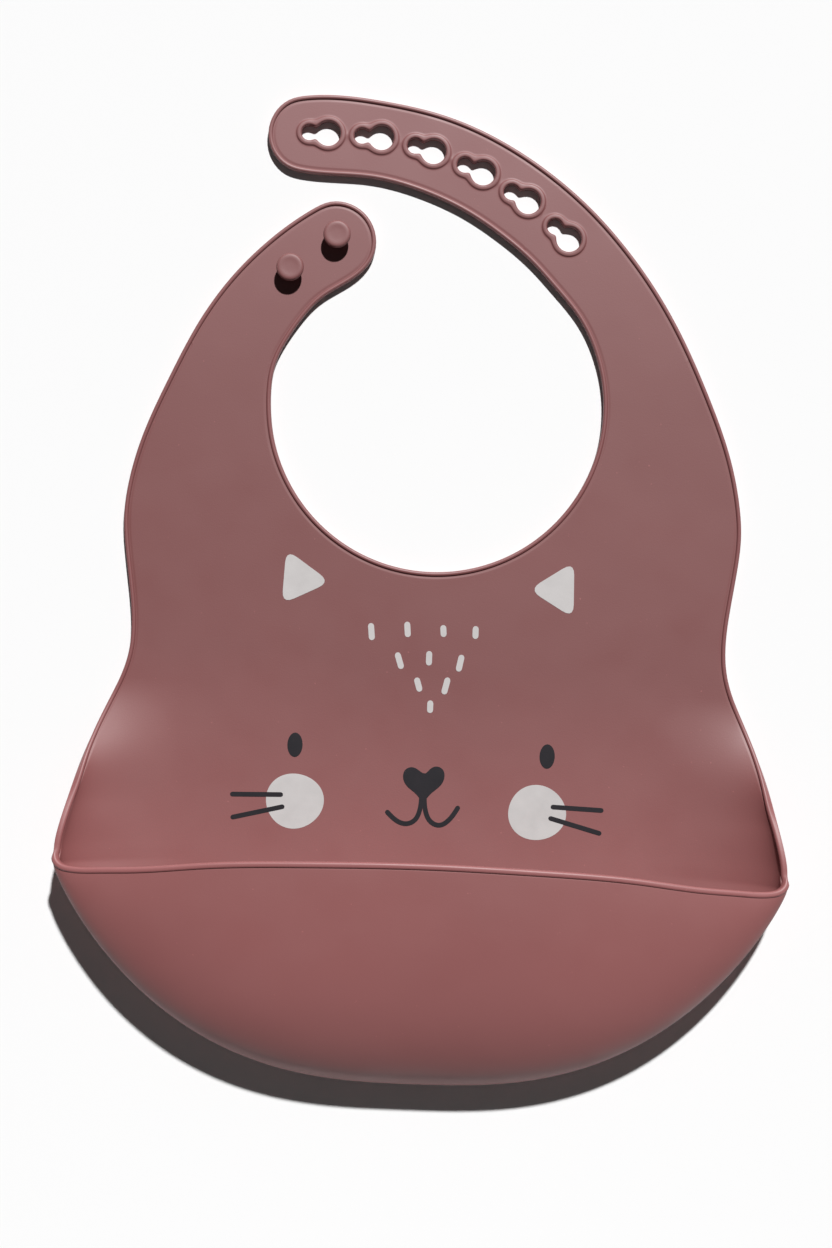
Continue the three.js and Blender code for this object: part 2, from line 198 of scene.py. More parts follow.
def ray_crossings(curve, angle):
    """Places, as fractional indices, where a plan curve crosses a ray from the neck's hub."""
    a = math.radians(angle)
    out = np.array([math.cos(a), math.sin(a)])
    side = np.array([-out[1], out[0]])
    d = curve - HUB
    s = d @ side
    hits = []
    for i in np.nonzero(s[:-1] * s[1:] < 0)[0]:
        f = s[i] / (s[i] - s[i + 1])
        if (d[i] + f * (d[i + 1] - d[i])) @ out > 0:
            hits.append(i + f)
    return hits


def at_index(curve, index):
    """The point at a fractional index of a curve."""
    i = min(int(index), len(curve) - 2)
    return curve[i] + (index - i) * (curve[i + 1] - curve[i])


def stretch(curve, start, end, merge=0.3):
    """The part of a curve between two fractional indices, with exact end points."""
    first, last = at_index(curve, start), at_index(curve, end)
    middle = curve[math.floor(start) + 1 : math.ceil(end)]
    if len(middle) and np.linalg.norm(middle[0] - first) < merge:
        middle = middle[1:]
    if len(middle) and np.linalg.norm(middle[-1] - last) < merge:
        middle = middle[:-1]
    return np.vstack([first, middle, last])


# ---------------------------------------------------------------- meshes
def make_object(name, vertices, faces, sharp=32):
    """A smooth-shaded object from millimetre vertices, with edges past an angle kept sharp."""
    mesh = bpy.data.meshes.new(name)
    mesh.from_pydata((np.asarray(vertices) * MM).tolist(), [], faces)
    mesh.validate()
    mesh.update()
    mesh.polygons.foreach_set("use_smooth", [True] * len(mesh.polygons))
    mesh.set_sharp_from_angle(angle=math.radians(sharp))
    obj = bpy.data.objects.new(name, mesh)
    bpy.context.scene.collection.objects.link(obj)
    return obj


def tube(rings):
    """Vertices and faces of a closed body through rings of equal size."""
    rings = np.asarray(rings)
    n, k = rings.shape[:2]
    faces = []
    for i in range(n - 1):
        for j in range(k):
            a, b = i * k + j, i * k + (j + 1) % k
            faces.append((a, b, b + k, a + k))
    faces.append(tuple(range(k - 1, -1, -1)))
    faces.append(tuple(range((n - 1) * k, n * k)))
    return rings.reshape(-1, 3), faces


def inside(points, polygon):
    """Which points lie in a polygon."""
    x, y = points[:, 0], points[:, 1]
    result = np.zeros(len(points), bool)
    for (x1, y1), (x2, y2) in zip(polygon, np.roll(polygon, -1, axis=0)):
        if y1 == y2:
            continue
        spans = (y1 > y) != (y2 > y)
        result ^= spans & (x < (x2 - x1) * (y - y1) / (y2 - y1) + x1)
    return result


def nearest(points, others, batch=200):
    """Distance from each point to the closest of others."""
    best = np.full(len(points), np.inf)
    for start in range(0, len(others), batch):
        part = others[start : start + batch]
        d = np.linalg.norm(points[:, None] - part[None], axis=2).min(axis=1)
        best = np.minimum(best, d)
    return best


STAGGER = 0.866
CLEAR_OF_EDGES = 0.55
MERGE_DISTANCE = 1e-6
KEEP_FACES_INSIDE = 2


def grid_points(polygon, spacing):
    """A staggered grid of points inside a polygon's bounds."""
    low, high = polygon.min(0), polygon.max(0)
    rows = np.arange(low[1], high[1], spacing * STAGGER)
    points = []
    for i, y in enumerate(rows):
        xs = np.arange(low[0] + (i % 2) * spacing / 2, high[0], spacing)
        points.append(np.stack([xs, np.full(len(xs), y)], axis=1))
    return np.vstack(points)


def plate(name, loop, holes, guides, spacing, top_height, base=0.0):
    """A closed plate over a plan outline, flat underneath, its top at top_height(points)."""
    walls = [loop, *holes]
    fixed = np.vstack([*walls, *guides]) if guides else np.vstack(walls)
    fill = grid_points(loop, spacing)
    fill = fill[inside(fill, loop)]
    for hole in holes:
        fill = fill[~inside(fill, hole)]
    fill = fill[nearest(fill, fixed) > CLEAR_OF_EDGES * spacing]
    points = np.vstack([fixed, fill])
    edges = []
    start = 0
    for wall in walls:
        n = len(wall)
        edges += [(start + i, start + (i + 1) % n) for i in range(n)]
        start += n
    result = geometry.delaunay_2d_cdt(
        [tuple(p) for p in points], edges, [], KEEP_FACES_INSIDE, MERGE_DISTANCE
    )
    flat, faces = np.array([tuple(v) for v in result[0]]), result[2]
    if holes:
        middles = np.array([flat[list(face)].mean(axis=0) for face in faces])
        empty = np.any([inside(middles, hole) for hole in holes], axis=0)
        faces = [face for face, in_hole in zip(faces, empty) if not in_hole]
    height = top_height(flat)
    n = len(flat)
    vertices = np.vstack([np.c_[flat, height], np.c_[flat, np.full(n, base)]])
    upward = []
    for face in faces:
        a, b, c = (flat[i] for i in face[:3])
        turn = (b[0] - a[0]) * (c[1] - a[1]) - (b[1] - a[1]) * (c[0] - a[0])
        upward.append(tuple(face) if turn > 0 else tuple(reversed(face)))
    used = dict.fromkeys(
        edge for face in upward for edge in zip(face, face[1:] + face[:1])
    )
    sides = [(b, a, a + n, b + n) for a, b in used if (b, a) not in used]
    under = [tuple(i + n for i in reversed(face)) for face in upward]
    return make_object(name, vertices, upward + under + sides)


# ---------------------------------------------------------------- outline of the flat sheet
def flat_outline():
    """Open curve from the right pocket corner, over both straps, to the left pocket corner."""
    keys = [
        *reversed(SIDE_FLAP),
        *RIGHT_SIDE,
        *arc_points(TIP["centre"], TIP["radius"], 90, 270, 6),
        *SLOT_INNER,
        *arc_points(NECK["centre"], NECK["radius"], 34, -194, 16),
        *STUD_INNER,
        *arc_points(TAB["centre"], TAB["radius"], TAB["facing"] - 90, TAB["facing"] + 90, 6),
        *LEFT_SIDE,
        *[(-x, y) for x, y in SIDE_FLAP],
    ]
    return spline(keys, OUTLINE_STEP, ends=((0, 1), (0, -1)))


def level_crossings(curve, y):
    """Fractional indices where a plan curve crosses a level."""
    d = curve[:, 1] - y
    return [i + d[i] / (d[i] - d[i + 1]) for i in np.nonzero(d[:-1] * d[1:] <= 0)[0]]


outline = flat_outline()
flap_tops = level_crossings(outline, BOWL_TOP_Y)
right_flap = stretch(outline, 0, flap_tops[0])
left_flap = stretch(outline, flap_tops[-1], len(outline) - 1)
sheet_edge = stretch(outline, flap_tops[0], flap_tops[-1])

# keyholes: each wide lobe lies where the CAD's opening does, with its narrow lobe beside it
KEYHOLE = {
    "wide": 3.9, "narrow": 2.4, "soft": 0.7, "middle": 0.45, "reach": 9,
    "lip": 1.2, "lip_height": 0.42, "fall": 0.6, "round": 0.45,
}
LIP_LEVELS = (0.1, 0.22, 0.36, 0.55, 1.2, 1.32, 1.45, 1.58, 1.7, 1.82, 2.2)
WIDE_TO_NARROW = [(-6.0, 0.1), (-6.2, 0.3), (-5.9, 1.6), (-5.9, 2.3), (-5.4, 2.8), (-4.6, 3.9)]
wide_lobes = [
    (np.array(opening["box_m"]) / MM).mean(axis=0)[:2]
    for opening in frame["record"]["physics"]["openings"]
    if opening["name"].startswith("keyhole")
]
keyholes = [(wide, wide + np.array(step)) for wide, step in zip(wide_lobes, WIDE_TO_NARROW)]


def keyhole_distance(points):
    """Distance outside the nearest keyhole's wall, rounded where lobes and lips meet."""
    soft = KEYHOLE["soft"]
    total = np.zeros(len(points))
    for wide, narrow in keyholes:
        for centre, radius in ((wide, KEYHOLE["wide"]), (narrow, KEYHOLE["narrow"])):
            d = np.linalg.norm(points - centre, axis=1) - radius
            total += np.exp(-np.clip(d, -20, 200) / soft)
    return -soft * np.log(total + 1e-30)


def keyhole_contours(wide, narrow, levels, rays, samples):
    """Points around one keyhole at the given distances from its wall."""
    middle = wide + KEYHOLE["middle"] * (narrow - wide)
    reach = np.linspace(0, KEYHOLE["reach"], samples)
    points = []
    for a in np.linspace(0, 2 * math.pi, rays, endpoint=False):
        line = middle + reach[:, None] * np.array([math.cos(a), math.sin(a)])
        d = keyhole_distance(line)
        for level in levels:
            i = int(np.argmax(d > level))
            if i:
                f = (level - d[i - 1]) / (d[i] - d[i - 1])
                points.append(line[i - 1] + f * (line[i] - line[i - 1]))
    return np.array(points)


def keyhole_wall(wide, narrow, steps=72):
    """Plan loop of one keyhole, where the rounded distance is zero."""
    loop = keyhole_contours(wide, narrow, (0,), 120, 300)
    return along(np.vstack([loop, loop[:1]]), np.arange(steps) / steps)


def smooth(share):
    """Eases from 0 to 1 as share goes from 0 to 1."""
    t = np.clip(share, 0, 1)
    return t * t * (3 - 2 * t)


def groove(distance):
    """Depth of the fine groove that runs beside the bead, at a distance from the free edge."""
    middle = BEAD["width"] + GROOVE["gap"]
    return GROOVE["depth"] * np.exp(-(((distance - middle) / GROOVE["width"]) ** 2))


def sheet_top(points):
    """Height of the sheet's printed face: a groove beside the bead and lips at the keyholes."""
    k = keyhole_distance(points)
    lip = KEYHOLE["lip_height"] * (1 - smooth((k - KEYHOLE["lip"]) / KEYHOLE["fall"]))
    rounding = KEYHOLE["round"] * np.clip(1 - np.maximum(k, 0) / KEYHOLE["round"], 0, 1) ** 2
    return SHEET - groove(nearest(points, outline)) + lip - rounding


# ---------------------------------------------------------------- pocket
def side_profile(edge):
    """Points of the turned-up side from its flat inner end out to one point of the free edge."""
    climb = (BOWL_TOP_Y - edge[1]) / (BOWL_TOP_Y - CORNER["y"])
    turned = SIDE["first_turn"] + (1 - SIDE["first_turn"]) * smooth(climb / SIDE["upright_at"])
    end = math.pi / 2 * turned
    b = np.linspace(0, end, PROFILE_STEPS)
    reach = np.sin(b) / math.sin(end)
    height = CORNER["z"] * math.sin(math.pi / 2 * min(max(climb, 0), 1)) ** SIDE["delay"]
    rise = height * (1 - np.cos(b)) / (1 - math.cos(end))
    x = edge[0] * (CURL["side"] + (1 - CURL["side"]) * reach)
    return np.stack([x, np.full(len(b), edge[1]), rise], axis=1)


def fold_line():
    """Plan of the pocket's outermost line, from the left corner to the right one."""
    x = -CORNER["x"] * np.cos(np.linspace(0, math.pi, 401))
    depth = RIM["end_y"] - FOLD["bottom_y"]
    y = RIM["end_y"] - depth * (1 - np.abs(x / CORNER["x"]) ** FOLD["across"]) ** FOLD["down"]
    ends = np.array([[CORNER["x"], CORNER["y"]]])
    return np.vstack([ends * [-1, 1], np.stack([x, y], axis=1), ends])


def rim_line():
    """Plan of the pocket's rim, from the left corner to the right one."""
    r = CORNER["radius"]
    right = [*RIM_PLAN[1:], *arc_points((CORNER["x"] - r, RIM["end_y"] + r), r, -88, 0, 4)]
    left = [(-x, y) for x, y in reversed(right)]
    return spline([*left, RIM_PLAN[0], *right], 0.8, ends=((0, -1), (0, 1)))


def pocket_profile(fold, rim, share):
    """Points under the belly, round the fold and up the pocket's front to its rim."""
    centre = np.array([0, CORNER["y"]])
    spoke = fold - centre
    down = abs(spoke[1]) / np.linalg.norm(spoke)
    inner = centre + spoke * (CURL["side"] + (CURL["bottom"] - CURL["side"]) * down)
    fold_z = FOLD["bottom_z"] + (CORNER["z"] - FOLD["bottom_z"]) * math.cos(math.pi * share) ** 2
    rim_z = CORNER["z"] + (RIM["z"] - CORNER["z"]) * (1 - abs(1 - 2 * share) ** RIM["arch"])
    a = np.linspace(0, math.pi / 2, PROFILE_STEPS)
    back = np.c_[inner + np.outer(np.sin(a), fold - inner), fold_z * (1 - np.cos(a))]
    front = np.c_[fold + np.outer(1 - np.cos(a), rim - fold), fold_z + (rim_z - fold_z) * np.sin(a)]
    return np.vstack([back, front[1:]])


def rows_of(profile):
    """A profile cut into the same rows for every column, closer together where it bends."""
    steps = np.diff(profile, axis=0)
    size = np.linalg.norm(steps, axis=1)
    keep = size > 1e-7
    profile = np.vstack([profile[:1], profile[1:][keep]])
    steps = steps[keep] / size[keep][:, None]
    s = lengths(profile)
    turn = np.r_[0, np.arccos(np.clip((steps[:-1] * steps[1:]).sum(axis=1), -1, 1)), 0]
    effort = s + BEND_CROWDING * np.cumsum(turn)
    last = np.interp(s[-1] - EDGE_ROWS[-1], s, effort)
    even = np.interp(np.linspace(0, last, BOWL_ROWS), effort, s)
    places = np.r_[even[:-1], s[-1] - np.array(EDGE_ROWS[::-1])]
    return np.stack([np.interp(places, s, c) for c in profile.T], axis=1)


def pocket_grid():
    """Outer face of belly and pocket: columns along the edge by rows out to it."""
    q = np.linspace(0, 1, RIM_COLUMNS + 1)
    shares = EVEN_COLUMNS * q + (1 - EVEN_COLUMNS) * (1 - np.cos(math.pi * q)) / 2
    rims = along(rim_line(), shares)
    folds = along(fold_line(), shares)
    left = [side_profile(e) for e in left_flap[:-1]]
    lower = [pocket_profile(f, r, s) for f, r, s in zip(folds, rims, shares)]
    right = [side_profile(e) for e in right_flap[1:]]
    return np.array([rows_of(p) for p in (*left, *lower, *right)])


def inward_normals(grid):
    """Unit directions from the grid's outer face towards its printed or inner face."""
    n = np.cross(np.gradient(grid, axis=1), np.gradient(grid, axis=0))
    n /= np.linalg.norm(n, axis=2)[:, :, None]
    n[:, 0] = n[0] = n[-1] = (0, 0, 1)
    return n


bowl_outer = pocket_grid()
bowl_normals = inward_normals(bowl_outer)
bowl_edge = bowl_outer[:, -1]
bowl_edge_up = bowl_normals[:, -1]


def bowl_mesh():
    """Closed shell of the belly's curled part and the pocket, one sheet thick."""
    outer, up = bowl_outer[:, :-1], bowl_normals[:, :-1]
    columns, rows = outer.shape[:2]
    from_edge = np.linalg.norm(outer - bowl_edge[:, None], axis=2)
    depth = groove(from_edge)[:, :, None]
    facing_rim = np.clip(-bowl_edge_up[:, 2], 0, 1)[:, None, None]
    inner = outer + up * (SHEET - depth * (1 - facing_rim))
    outer = outer + up * depth * facing_rim
    n = columns * rows
    faces = []
    for c in range(columns - 1):
        for r in range(rows - 1):
            a = c * rows + r
            quad = (a, a + rows, a + rows + 1, a + 1)
            faces.append(quad)
            faces.append(tuple(n + i for i in reversed(quad)))
    loop = [c * rows for c in range(columns)]
    loop += [(columns - 1) * rows + r for r in range(1, rows)]
    loop += [c * rows + rows - 1 for c in range(columns - 2, -1, -1)]
    loop += list(range(rows - 2, 0, -1))
    for a, b in zip(loop, loop[1:] + loop[:1]):
        faces.append((b, a, a + n, b + n))
    return np.vstack([outer.reshape(-1, 3), inner.reshape(-1, 3)]), faces


bowl = make_object("pocket_shell", *bowl_mesh())


# ---------------------------------------------------------------- flat plates
PLATE_INSET = EDGE_ROWS[1]
CLEAR_OF_SEAM = 0.5
plate_edge = offset(outline, PLATE_INSET)


def cut_line(hits):
    """Plan points straight across a strap, closer together beside its two free edges."""
    a, b = at_index(plate_edge, hits[0]), at_index(plate_edge, hits[1])
    width = np.linalg.norm(b - a)
    near = np.array(EDGE_ROWS[2:]) - PLATE_INSET
    middle = np.linspace(near[-1], width - near[-1], max(3, round(width / 2)))
    places = np.r_[0, near[:-1], middle, width - near[-2::-1], width]
    return a + np.outer(places / width, b - a)


def joined(*parts, repeated=0.05):
    """One loop from several curves, without its repeated points."""
    loop = np.vstack(parts)
    gap = np.linalg.norm(loop - np.roll(loop, 1, axis=0), axis=1)
    return loop[gap > repeated]


def guide_rings(*spans):
    """Rows of points beside the free edge, where the groove needs them."""
    return [stretch(offset(outline, d), a, b)[1:-1] for a, b in spans for d in EDGE_ROWS[2:]]


strap_hits, keyhole_hits, stud_hits = (
    ray_crossings(plate_edge, angle) for angle in (STRAP_CUT, KEYHOLE_CUT, STUD_CUT)
)
strap_line, keyhole_line, stud_line = (
    cut_line(hits) for hits in (strap_hits, keyhole_hits, stud_hits)
)
first_hit, last_hit = flap_tops[0] + CLEAR_OF_SEAM, flap_tops[-1] - CLEAR_OF_SEAM
seam = bowl_outer[:, :, :2]
main_spans = [
    (first_hit, strap_hits[0]),
    (strap_hits[1], stud_hits[0]),
    (stud_hits[1], last_hit),
]
main_loop = joined(
    stretch(plate_edge, *main_spans[0]),
    strap_line,
    stretch(plate_edge, *main_spans[1]),
    stud_line,
    stretch(plate_edge, *main_spans[2]),
    seam[0, -2::-1],
    seam[1:, 0],
    seam[-1, 1:-1],
)
sheet_plate = plate("sheet", main_loop, [], guide_rings(*main_spans), CHEST_GRID, sheet_top)

root_spans = [(strap_hits[0], keyhole_hits[0]), (keyhole_hits[1], strap_hits[1])]
root_loop = joined(
    stretch(plate_edge, *root_spans[0]),
    keyhole_line,
    stretch(plate_edge, *root_spans[1]),
    strap_line[::-1],
)
tip_spans = [tuple(keyhole_hits)]
tip_loop = joined(stretch(plate_edge, *tip_spans[0]), keyhole_line[::-1])
stud_spans = [tuple(stud_hits)]
stud_loop = joined(stretch(plate_edge, *stud_spans[0]), stud_line[::-1])


def strap_plate(name, loop, spans, clear=0.3):
    """A strap's plate with the keyholes that lie in its loop, and close rows for their lips."""
    walls = [keyhole_wall(*keyhole) for keyhole in keyholes]
    own = [i for i, wall in enumerate(walls) if inside(wall.mean(axis=0)[None], loop)[0]]
    lips = np.vstack([keyhole_contours(*keyholes[i], LIP_LEVELS, 110, 360) for i in own])
    lips = lips[inside(lips, loop)]
    guides = [*guide_rings(*spans), lips[nearest(lips, loop) > clear]]
    return plate(name, loop, [walls[i] for i in own], guides, STRAP_GRID, sheet_top)


strap_root = strap_plate("slotted_strap_root", root_loop, root_spans)
strap_end = strap_plate("slotted_strap_end_plate", tip_loop, tip_spans)
stud_plate = plate(
    "stud_strap_plate", stud_loop, [], guide_rings(*stud_spans), STRAP_GRID, sheet_top
)


# ---------------------------------------------------------------- rounded bead of the free edge
def bead_section(right, low, high, low_round):
    """Section of the bead: across it from the outer face inwards, and up from the outer face."""
    left = -BEAD["overhang"]
    high_round = 0.48 * (right - left)
    corners = [
        (right - low_round, low + low_round, low_round, 270),
        (right - high_round, high - high_round, high_round, 0),
        (left + high_round, high - high_round, high_round, 90),
        (left + low_round, low + low_round, low_round, 180),
    ]
    ring = [arc_points((x, y), r, start, start + 90, BEAD_STEPS) for x, y, r, start in corners]
    return np.vstack(ring)


def free_edge():
    """The whole free edge as a closed run of points with their three directions."""
    flat = np.c_[sheet_edge, np.zeros(len(sheet_edge))]
    points = np.vstack([flat, bowl_edge[1:-1]])
    up = np.vstack([np.tile((0.0, 0.0, 1.0), (len(flat), 1)), bowl_edge_up[1:-1]])
    ahead = np.roll(points, -1, axis=0) - np.roll(points, 1, axis=0)
    ahead /= np.linalg.norm(ahead, axis=1)[:, None]
    up -= (up * ahead).sum(axis=1)[:, None] * ahead
    up /= np.linalg.norm(up, axis=1)[:, None]
    run = np.hstack([points, up, np.cross(up, ahead)])
    return np.vstack([run, run[:1]])


edge_run = free_edge()


def bead_tube(start, end):
    """Vertices and faces of the bead between two indices of the free edge."""
    rings = []
    for x, y, z, *frame_axes in stretch(edge_run, start, end):
        up, across = np.array(frame_axes[:3]), np.array(frame_axes[3:])
        upright = smooth((0.9 - up[2]) / 0.9)
        rim = smooth((0.25 - up[2]) / 1.1)
        low = BEAD["sink"] - (BEAD["sink"] + BEAD["rim_proud"]) * rim
        high = BEAD["height"] - BEAD["upright_loss"] * (1 - abs(up[2])) - BEAD["rim_loss"] * rim
        width = BEAD["width"] + (BEAD["rim_width"] - BEAD["width"]) * upright
        section = bead_section(width, low, high, BEAD["foot"] + BEAD["rim_foot"] * rim)
        rings.append(np.array([x, y, z]) + section @ np.array([across, up]))
    return tube(rings)


def bead(name, *spans):
    """One object from the stretches of bead that bend together."""
    vertices, faces = [], []
    for span in spans:
        v, f = bead_tube(*span)
        faces += [tuple(i + len(vertices) for i in face) for face in f]
        vertices += list(v)
    return make_object(name, vertices, faces, sharp=50)


strap_cuts, keyhole_cuts, stud_cuts = (
    ray_crossings(sheet_edge, angle) for angle in (STRAP_CUT, KEYHOLE_CUT, STUD_CUT)
)
flat_end = len(sheet_edge) - 1
sheet_bead = bead(
    "sheet_bead",
    (0, strap_cuts[0]),
    (strap_cuts[1], stud_cuts[0]),
    (stud_cuts[1], flat_end),
)
root_bead = bead(
    "slotted_strap_root_bead",
    (strap_cuts[0], keyhole_cuts[0]),
    (keyhole_cuts[1], strap_cuts[1]),
)
end_bead = bead("slotted_strap_end_bead", tuple(keyhole_cuts))
stud_bead = bead("stud_strap_bead", tuple(stud_cuts))
pocket_bead = bead("pocket_bead", (flat_end, len(edge_run) - 1))


# ---------------------------------------------------------------- studs
STUD_PROFILE = [
    (0, -0.2), (3.2, -0.2), (3.1, 0), (2.7, 0.12), (2.4, 0.4), (2.25, 0.9), (2.2, 2.0), (2.3, 2.5),
    (2.6, 2.72), (3.3, 2.85), (3.9, 3.05), (4.2, 3.35), (4.3, 3.75), (4.25, 4.15), (4.05, 4.5),
    (3.7, 4.72), (3.3, 4.8), (2.2, 4.77), (0, 4.72),
]
STUD_STEP = 0.16


def stud(name, node, steps=56):
    """A mushroom-headed stud turned about the middle of its CAD node."""
    low, high = node_box(node)
    centre = (low + high)[:2] / 2
    curve = spline(STUD_PROFILE, STUD_STEP)
    turns = np.linspace(0, 2 * math.pi, steps, endpoint=False)
    around = np.stack([np.cos(turns), np.sin(turns)], axis=1)
    vertices = [(*centre, SHEET + curve[0, 1])]
    for r, z in curve[1:-1]:
        vertices += [(*(centre + r * out), SHEET + z) for out in around]
    vertices.append((*centre, SHEET + curve[-1, 1]))
    faces = [(0, 1 + (j + 1) % steps, 1 + j) for j in range(steps)]
    for i in range(len(curve) - 3):
        a, b = 1 + i * steps, 1 + (i + 1) * steps
        for j in range(steps):
            k = (j + 1) % steps
            faces.append((a + j, a + k, b + k, b + j))
    last = 1 + (len(curve) - 3) * steps
    faces += [(last + j, last + (j + 1) % steps, len(vertices) - 1) for j in range(steps)]
    return make_object(name, vertices, faces, sharp=60)


studs = [stud(f"{place}_stud_head", f"{place}_stud") for place in ("upper", "lower")]


# ---------------------------------------------------------------- printed face
INK = {"under": 0.04, "over": 0.07, "step": 0.01, "sunk": 0.1, "weld": 0.01, "top_band": 0.05}


def ink_slab(name, loop, height):
    """A thin printed patch over a plan loop."""
    def top_height(points):
        return np.full(len(points), SHEET + height)

    return plate(name, loop, [], [], INK_GRID, top_height, SHEET - INK["sunk"])


def printed(node):
    """A thin copy of a printed CAD node."""
    source = frame["nodes"][node]
    mesh = bmesh.new()
    mesh.from_mesh(source.data)
    bmesh.ops.remove_doubles(mesh, verts=mesh.verts, dist=INK["weld"] * MM)
    top = max(v.co.z for v in mesh.verts)
    for v in mesh.verts:
        on_top = v.co.z > top - INK["top_band"] * MM
        v.co.z = (SHEET + INK["over"] if on_top else SHEET - INK["sunk"]) * MM
    data = bpy.data.meshes.new(f"printed_{node}")
    mesh.to_mesh(data)
    mesh.free()
    obj = bpy.data.objects.new(f"printed_{node}", data)
    bpy.context.scene.collection.objects.link(obj)
    return obj


CHEEK_SWELL = 0.018


def cheek(side):
    """A round cheek patch, a little flatter on its upper outer side."""
    low, high = node_box(f"{side}_cheek")
    centre, half = (low + high)[:2] / 2, (high - low)[:2] / 2
    outwards = 1 if side == "right" else -1
    a = np.linspace(0, 2 * math.pi, 72, endpoint=False)
    swell = 1 + CHEEK_SWELL * np.cos(3 * a - outwards * math.pi / 4 * 3 + math.pi)
    loop = centre + half * np.stack([swell * np.cos(a), swell * np.sin(a)], axis=1)
    return ink_slab(f"printed_{side}_cheek", loop, INK["under"])


def ribbon(points, width):
    """Plan loop of a stroke of even width with round ends."""
    line = spline(points, 0.5)
    r = width / 2
    t = headings(line)
    left, right = offset(line, r), offset(line, -r)

    def cap(centre, heading):
        start = math.degrees(math.atan2(heading[1], heading[0])) - 90
        return arc_points(centre, r, start, start + 180, 8)[1:-1]

    return np.vstack([right, cap(line[-1], t[-1]), left[::-1], cap(line[0], -t[0])])


MOUTH_WIDTH = 1.5
MOUTH_ARMS = [
    [
        (-0.4, -62.5), (-0.45, -66.5), (-0.9, -69.4), (-2.3, -72.2), (-5, -73.4), (-8, -72.5),
        (-10.9, -70.0),
    ],
    [
        (0.6, -62.5), (0.6, -66.5), (1.1, -69.4), (2.7, -72.4), (5.4, -73.5), (8.4, -71.8),
        (11.1, -67.9),
    ],
]
HEART = [
    (0.5, -57.4), (1.9, -56.1), (4.0, -55.1), (6.0, -56.0), (6.6, -58.2), (5.7, -60.7),
    (3.4, -62.9), (1.6, -64.8), (0.1, -66.2), (-1.3, -64.9), (-3.2, -63.1), (-5.4, -61.2),
    (-6.4, -58.8), (-5.8, -56.5), (-3.9, -55.6), (-1.8, -56.3),
]
SIDES = ("left", "right")
arms = [
    ink_slab(f"printed_mouth_{side}", ribbon(arm, MOUTH_WIDTH), INK["over"] + i * INK["step"])
    for i, (side, arm) in enumerate(zip(SIDES, MOUTH_ARMS))
]
heart_loop = spline(HEART, 0.4, closed=True)[:-1]
heart = ink_slab("printed_nose", heart_loop, INK["over"] + len(arms) * INK["step"])
cheeks = {side: cheek(side) for side in SIDES}
whiskers = [f"{side}_{level}_whisker" for side in SIDES for level in ("upper", "lower")]
eyes = [f"{side}_eye" for side in SIDES]
ears = [f"{side}_ear" for side in SIDES]
marks = sorted(n for n in frame["nodes"] if n.startswith("forehead_mark"))
prints = {n: printed(n) for n in (*whiskers, *eyes, *ears, *marks)}


# ---------------------------------------------------------------- materials
def linear(r, g, b):
    """A display colour, 0 to 255, as the scene's own colour."""
    def one(c):
        c /= 255
        return c / 12.92 if c <= 0.04045 else ((c + 0.055) / 1.055) ** 2.4
    return (one(r), one(g), one(b), 1.0)


class Nodes:
    """A material with a few shorthands for its nodes."""

    def __init__(self, name):
        self.material = bpy.data.materials.new(name)
        self.material.use_nodes = True
        self.tree = self.material.node_tree
        self.shader = self.tree.nodes["Principled BSDF"]
        self.coords = self.tree.nodes.new("ShaderNodeTexCoord").outputs["Object"]

    def link(self, source, target):
        self.tree.links.new(source, target)

    def noise(self, scale, detail=2.0, roughness=0.5):
        node = self.tree.nodes.new("ShaderNodeTexNoise")
        node.inputs["Scale"].default_value = scale
        node.inputs["Detail"].default_value = detail
        node.inputs["Roughness"].default_value = roughness
        self.link(self.coords, node.inputs["Vector"])
        return node.outputs["Fac"]

    def up_the_bib(self, low, high):
        """From 0 to 1 between two distances along the bib, in metres."""
        node = self.tree.nodes.new("ShaderNodeSeparateXYZ")
        self.link(self.coords, node.inputs["Vector"])
        return self.between(node.outputs["Y"], low, high, 0, 1)

    def between(self, value, from_low, from_high, to_low, to_high):
        node = self.tree.nodes.new("ShaderNodeMapRange")
        for name, number in zip(
            ("From Min", "From Max", "To Min", "To Max"), (from_low, from_high, to_low, to_high)
        ):
            node.inputs[name].default_value = number
        self.link(value, node.inputs["Value"])
        return node.outputs["Result"]

    def mix(self, factor, a, b):
        node = self.tree.nodes.new("ShaderNodeMix")
        node.data_type = "RGBA"
        self.link(factor, node.inputs["Factor"])
        for socket, colour in ((node.inputs["A"], a), (node.inputs["B"], b)):
            if isinstance(colour, tuple):
                socket.default_value = colour
            else:
                self.link(colour, socket)
        return node.outputs["Result"]

    def bump(self, height, distance, strength, before=None):
        node = self.tree.nodes.new("ShaderNodeBump")
        node.inputs["Distance"].default_value = distance
        node.inputs["Strength"].default_value = strength
        self.link(height, node.inputs["Height"])
        if before is not None:
            self.link(before, node.inputs["Normal"])
        return node.outputs["Normal"]


